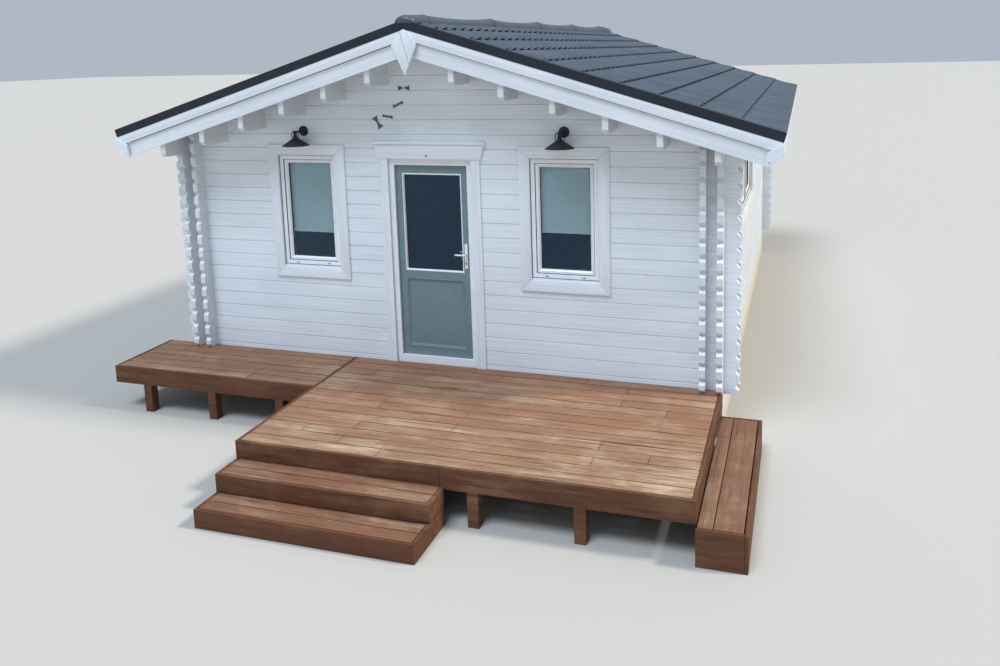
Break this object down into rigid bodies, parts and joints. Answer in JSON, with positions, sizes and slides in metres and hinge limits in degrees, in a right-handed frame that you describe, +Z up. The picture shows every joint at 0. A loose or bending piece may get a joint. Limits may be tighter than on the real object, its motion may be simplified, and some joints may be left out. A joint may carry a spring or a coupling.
{
  "type": "garden chalet",
  "caption": "White log garden chalet under a low gable roof, with an inward-opening glazed door, framed windows, a timber deck, broad front steps and a side step.",
  "frame": {"origin": "ground level, on the middle of the plinth's underside below the front wall", "axes": "+X to the right along the front, +Y from the front to the back, +Z up"},
  "size_m": [6.8006, 10.676, 3.9804],
  "materials": {
    "plinth_paint": "white painted masonry, matt",
    "log_paint": "white painted planed logs, matt",
    "trim_paint": "white painted boards, matt",
    "ceiling_paint": "white painted ceiling boards",
    "floor_boards": "oiled floor boards",
    "insulation": "rigid insulation board",
    "bare_batten": "sawn batten",
    "roof_steel": "matt anthracite coated steel",
    "flashing_steel": "satin black coated steel",
    "white_pvc": "white moulded profile, satin",
    "door_paint": "grey-green satin",
    "clear_glass": "clear double glazing",
    "handle_white": "white powder coat",
    "blind_fabric": "pale grey-green blind fabric",
    "lamp_black": "black satin enamel",
    "deck_wood": "brown stained deck boards"
  },
  "bodies": {
    "root": {"plinth_front": "plinth_paint", "plinth_back": "plinth_paint", "plinth_left": "plinth_paint", "plinth_right": "plinth_paint", "floor": "floor_boards", "front_wall_left": "log_paint", "front_wall_right": "log_paint", "front_wall_over_door": "log_paint", "back_wall": "log_paint", "left_wall": "log_paint", "right_wall": "log_paint", "purlins": "log_paint", "ridge_purlin": "log_paint", "roof_boards_left": "ceiling_paint", "roof_boards_right": "ceiling_paint", "roof_insulation_left": "insulation", "roof_insulation_right": "insulation", "roof_battens": "bare_batten", "roof_sheet_left": "roof_steel", "roof_sheet_right": "roof_steel", "ridge_cap": "roof_steel", "verge_flashings_left": "flashing_steel", "verge_flashings_right": "flashing_steel", "barge_boards_left": "trim_paint", "barge_boards_right": "trim_paint", "barge_covers_left": "trim_paint", "barge_covers_right": "trim_paint", "finials": "trim_paint", "barge_end_plates": "trim_paint", "eave_boards": "trim_paint", "door_frame": "white_pvc", "hinge_knuckles_frame": "white_pvc", "door_casing": "trim_paint", "door_head_board": "trim_paint", "window_frames": "white_pvc", "window_glass": "clear_glass", "window_casings": "trim_paint", "window_blinds": "blind_fabric", "wall_lamps": "lamp_black", "deck_boards": "deck_wood", "walkway_boards": "deck_wood", "side_step_boards": "deck_wood", "deck_skirts": "deck_wood", "side_step_skirt": "deck_wood", "deck_joists": "deck_wood", "deck_posts": "deck_wood", "front_steps": "deck_wood"},
    "door": {"door_leaf": "door_paint", "door_glass": "clear_glass", "hinge_knuckles_leaf": "white_pvc", "handle_plates": "handle_white"},
    "door_lever": {"door_lever": "handle_white"}
  },
  "joints": [
    {"name": "door_hinge", "type": "hinge", "parent": "root", "child": "door", "pos_m": [-0.418, 0.007, 0.465], "axis": [0, 0, 1], "range_deg": [0, 95]},
    {"name": "lever_turn", "type": "hinge", "parent": "door", "child": "door_lever", "pos_m": [0.348, -0.035, 1.625], "axis": [0, -1, 0], "range_deg": [0, 40], "stiffness_Nm_per_rad": 2}
  ]
}
